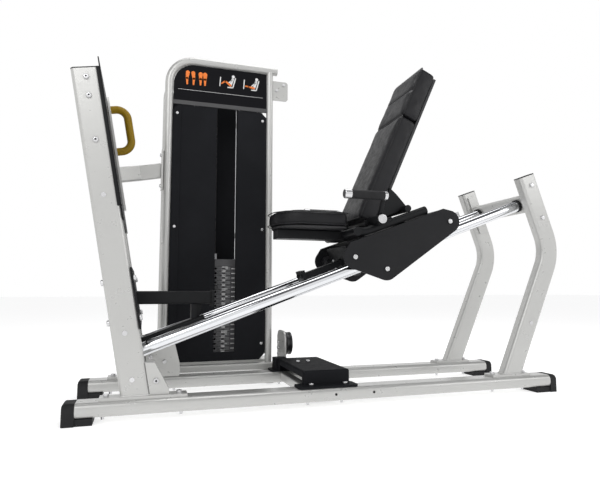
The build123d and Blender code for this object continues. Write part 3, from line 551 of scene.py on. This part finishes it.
def seated_figure(x, z, size, knee):
    """Generic seated person pressing a plate, as white bars with orange legs."""
    hip = (x + 0.22 * size, z - 0.2 * size)
    knee_at = (x - 0.12 * size, z - 0.2 * size + knee * size)
    foot = (x - 0.34 * size, z - 0.12 * size)
    white = [
        disc(x + 0.40 * size, z + 0.40 * size, 0.1 * size),
        limb(*hip, x + 0.36 * size, z + 0.22 * size, 0.16 * size),
        limb(x + 0.34 * size, z + 0.18 * size, x + 0.08 * size, z - 0.06 * size, 0.07 * size),
        limb(x + 0.06 * size, z - 0.34 * size, x + 0.34 * size, z - 0.34 * size, 0.07 * size),
        limb(x + 0.38 * size, z - 0.32 * size, x + 0.54 * size, z + 0.3 * size, 0.07 * size),
        limb(x - 0.46 * size, z - 0.3 * size, x - 0.42 * size, z + 0.28 * size, 0.06 * size),
    ]
    orange = [limb(*hip, *knee_at, 0.14 * size, 0.11 * size), limb(*knee_at, *foot, 0.11 * size, 0.08 * size)]
    return white, orange


def build_placard():
    low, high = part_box("placard")
    y = low[1]
    width, height = high[0] - low[0], high[2] - low[2]
    white, orange = [], []
    icon_z = low[2] + height * 0.64
    for shift in (-0.013, 0.013):
        hip_x = low[0] + width * 0.17 + shift
        orange.append(limb(hip_x, icon_z + 0.026, hip_x + shift * 0.25, icon_z - 0.002, 0.019, 0.013))
        orange.append(limb(hip_x + shift * 0.25, icon_z - 0.004, hip_x + shift * 0.15, icon_z - 0.032, 0.012, 0.008))
    for shift in (-0.011, 0.011):
        hip_x = low[0] + width * 0.30 + shift
        orange.append(limb(hip_x, icon_z + 0.024, hip_x, icon_z, 0.021, 0.014))
        orange.append(limb(hip_x, icon_z - 0.002, hip_x, icon_z - 0.03, 0.013, 0.008))
    for share, knee in ((0.56, 0.26), (0.82, 0.06)):
        figure_white, figure_orange = seated_figure(low[0] + width * share, icon_z, 0.078, knee)
        white += figure_white
        orange += figure_orange
    line_z = low[2] + height * 0.30
    white.append([(low[0] + 0.02, line_z), (high[0] - 0.02, line_z), (high[0] - 0.02, line_z + 0.0015),
                  (low[0] + 0.02, line_z + 0.0015)])
    for name, shapes, material, lift in (("placard_white", white, WHITE, 0.0), ("placard_orange", orange, ORANGE, 0.0004)):
        bm = bmesh.new()
        for shape in shapes:
            flat_shape(bm, shape, y - lift)
        make(name, mesh_from(name, bm, False), "frame", material)


def build_labels():
    """A printed tick on each plate label, longer on every fifth."""
    for cad_node, body in (("plate_labels", "frame"), ("lifted_labels", "stack")):
        bm = bmesh.new()
        groups = sorted(islands(frame["nodes"][cad_node]), key=lambda group: min(point.z for point in group))
        for index, group in enumerate(groups):
            low = Vector([min(point[i] for point in group) for i in range(3)])
            high = Vector([max(point[i] for point in group) for i in range(3)])
            middle = (low.z + high.z) / 2
            reach = 0.030 if index % 5 == 4 else 0.018
            flat_shape(bm, [(low.x + 0.006, middle - 0.002), (low.x + 0.006 + reach, middle - 0.002),
                            (low.x + 0.006 + reach, middle + 0.002), (low.x + 0.006, middle + 0.002)], low.y, 0.0003)
        make(cad_node + "_ticks", mesh_from(cad_node + "_ticks", bm, False), body, WHITE)


# ---------------------------------------------------------------- weld beads
def weld_ring(bm, centre, half_x, half_y, radius=0.003, lean=0.0):
    """Plain round bead round the foot of a rectangular tube."""
    outline = rounded_outline(-half_x, half_x, -half_y, half_y, (0.014,) * 4, steps=6)
    points = []
    for (x0, y0), (x1, y1) in zip(outline, outline[1:] + outline[:1]):
        run = math.hypot(x1 - x0, y1 - y0)
        pieces = max(1, int(run / 0.005))
        for step in range(pieces):
            share = step / pieces
            points.append((centre[0] + x0 + (x1 - x0) * share, centre[1] + y0 + (y1 - y0) * share, centre[2]))
    tube(bm, points, radius, closed=True, steps=6)


def build_welds():
    bm = bmesh.new()
    for cad_node, body_width in (("footplate_post_near", 0.0), ("footplate_post_far", 0.0),
                                 ("rear_leg_near", 0.0), ("rear_leg_far", 0.0)):
        piece = frame["nodes"][cad_node]
        foot = [vertex.co for vertex in piece.data.vertices if vertex.co.z < 0.0835]
        x0, x1 = min(p.x for p in foot), max(p.x for p in foot)
        y0, y1 = min(p.y for p in foot), max(p.y for p in foot)
        weld_ring(bm, ((x0 + x1) / 2, (y0 + y1) / 2, 0.0845), (x1 - x0) / 2, (y1 - y0) / 2)
    make("foot_welds", mesh_from("foot_welds", bm), "frame", WELD)


# ---------------------------------------------------------------- studio
def area_light(name, place, target, size, power, size_y=None):
    data = bpy.data.lights.new(name, "AREA")
    data.energy = power
    data.size = size
    if size_y:
        data.shape = "RECTANGLE"
        data.size_y = size_y
    light = bpy.data.objects.new(name, data)
    bpy.context.scene.collection.objects.link(light)
    light.location = place
    light.rotation_euler = (Vector(target) - Vector(place)).to_track_quat("-Z", "Y").to_euler()


WHITE_UNTIL = 0.56             # sine of the elevation where the white surround ends


def build_studio():
    mesh = bpy.data.meshes.new("floor")
    reach = 30.0
    mesh.from_pydata([(-reach, -reach, 0), (reach, -reach, 0), (reach, reach, 0), (-reach, reach, 0)], [], [(0, 1, 2, 3)])
    floor = bpy.data.objects.new("floor", mesh)
    bpy.context.scene.collection.objects.link(floor)
    mesh.materials.append(finish_material("floor", (0.7, 0.7, 0.7), 0.6, spread=0.005,
                                          specular=0.0, glow=0.9))
    world = bpy.data.worlds.new("studio")
    bpy.context.scene.world = world
    world.use_nodes = True
    tree = world.node_tree
    coords = node(tree, "ShaderNodeTexCoord")
    parts = node(tree, "ShaderNodeSeparateXYZ")
    ramp = node(tree, "ShaderNodeValToRGB")
    tree.links.new(coords.outputs["Generated"], parts.inputs["Vector"])
    tree.links.new(parts.outputs["Z"], ramp.inputs["Fac"])
    tree.links.new(ramp.outputs["Color"], tree.nodes["Background"].inputs["Color"])
    white_until, dark_from = ramp.color_ramp.elements
    white_until.position, white_until.color = WHITE_UNTIL, (1, 1, 1, 1)
    dark_from.position, dark_from.color = WHITE_UNTIL + 0.08, (0.14, 0.14, 0.145, 1)
    area_light("key", (-1.8, -2.8, 3.0), (0, 0, 0.6), 2.0, 34)
    area_light("fill", (2.6, -2.4, 2.2), (0, 0, 0.6), 1.6, 16)
    area_light("top", (0.2, 0.2, 3.8), (0, 0, 0.5), 2.6, 60)
    scene = bpy.context.scene
    scene.view_settings.view_transform = "Standard"
    scene.view_settings.look = "None"


def build_camera():
    data = bpy.data.cameras.new("camera")
    data.sensor_width = 36.0
    data.sensor_fit = "HORIZONTAL"
    data.lens = 30.24
    data.clip_end = 100.0
    camera = bpy.data.objects.new("camera", data)
    bpy.context.scene.collection.objects.link(camera)
    camera.location = (ORIGIN.x, ORIGIN.y - 2.106, 0.45)
    camera.rotation_euler = (math.radians(95.55), 0.0, math.radians(-17.2))
    bpy.context.scene.camera = camera


dress_frame()
build_seat()
build_back()
build_grips()
build_recess_shades()
build_placard()
build_labels()
build_welds()
build_studio()
build_camera()
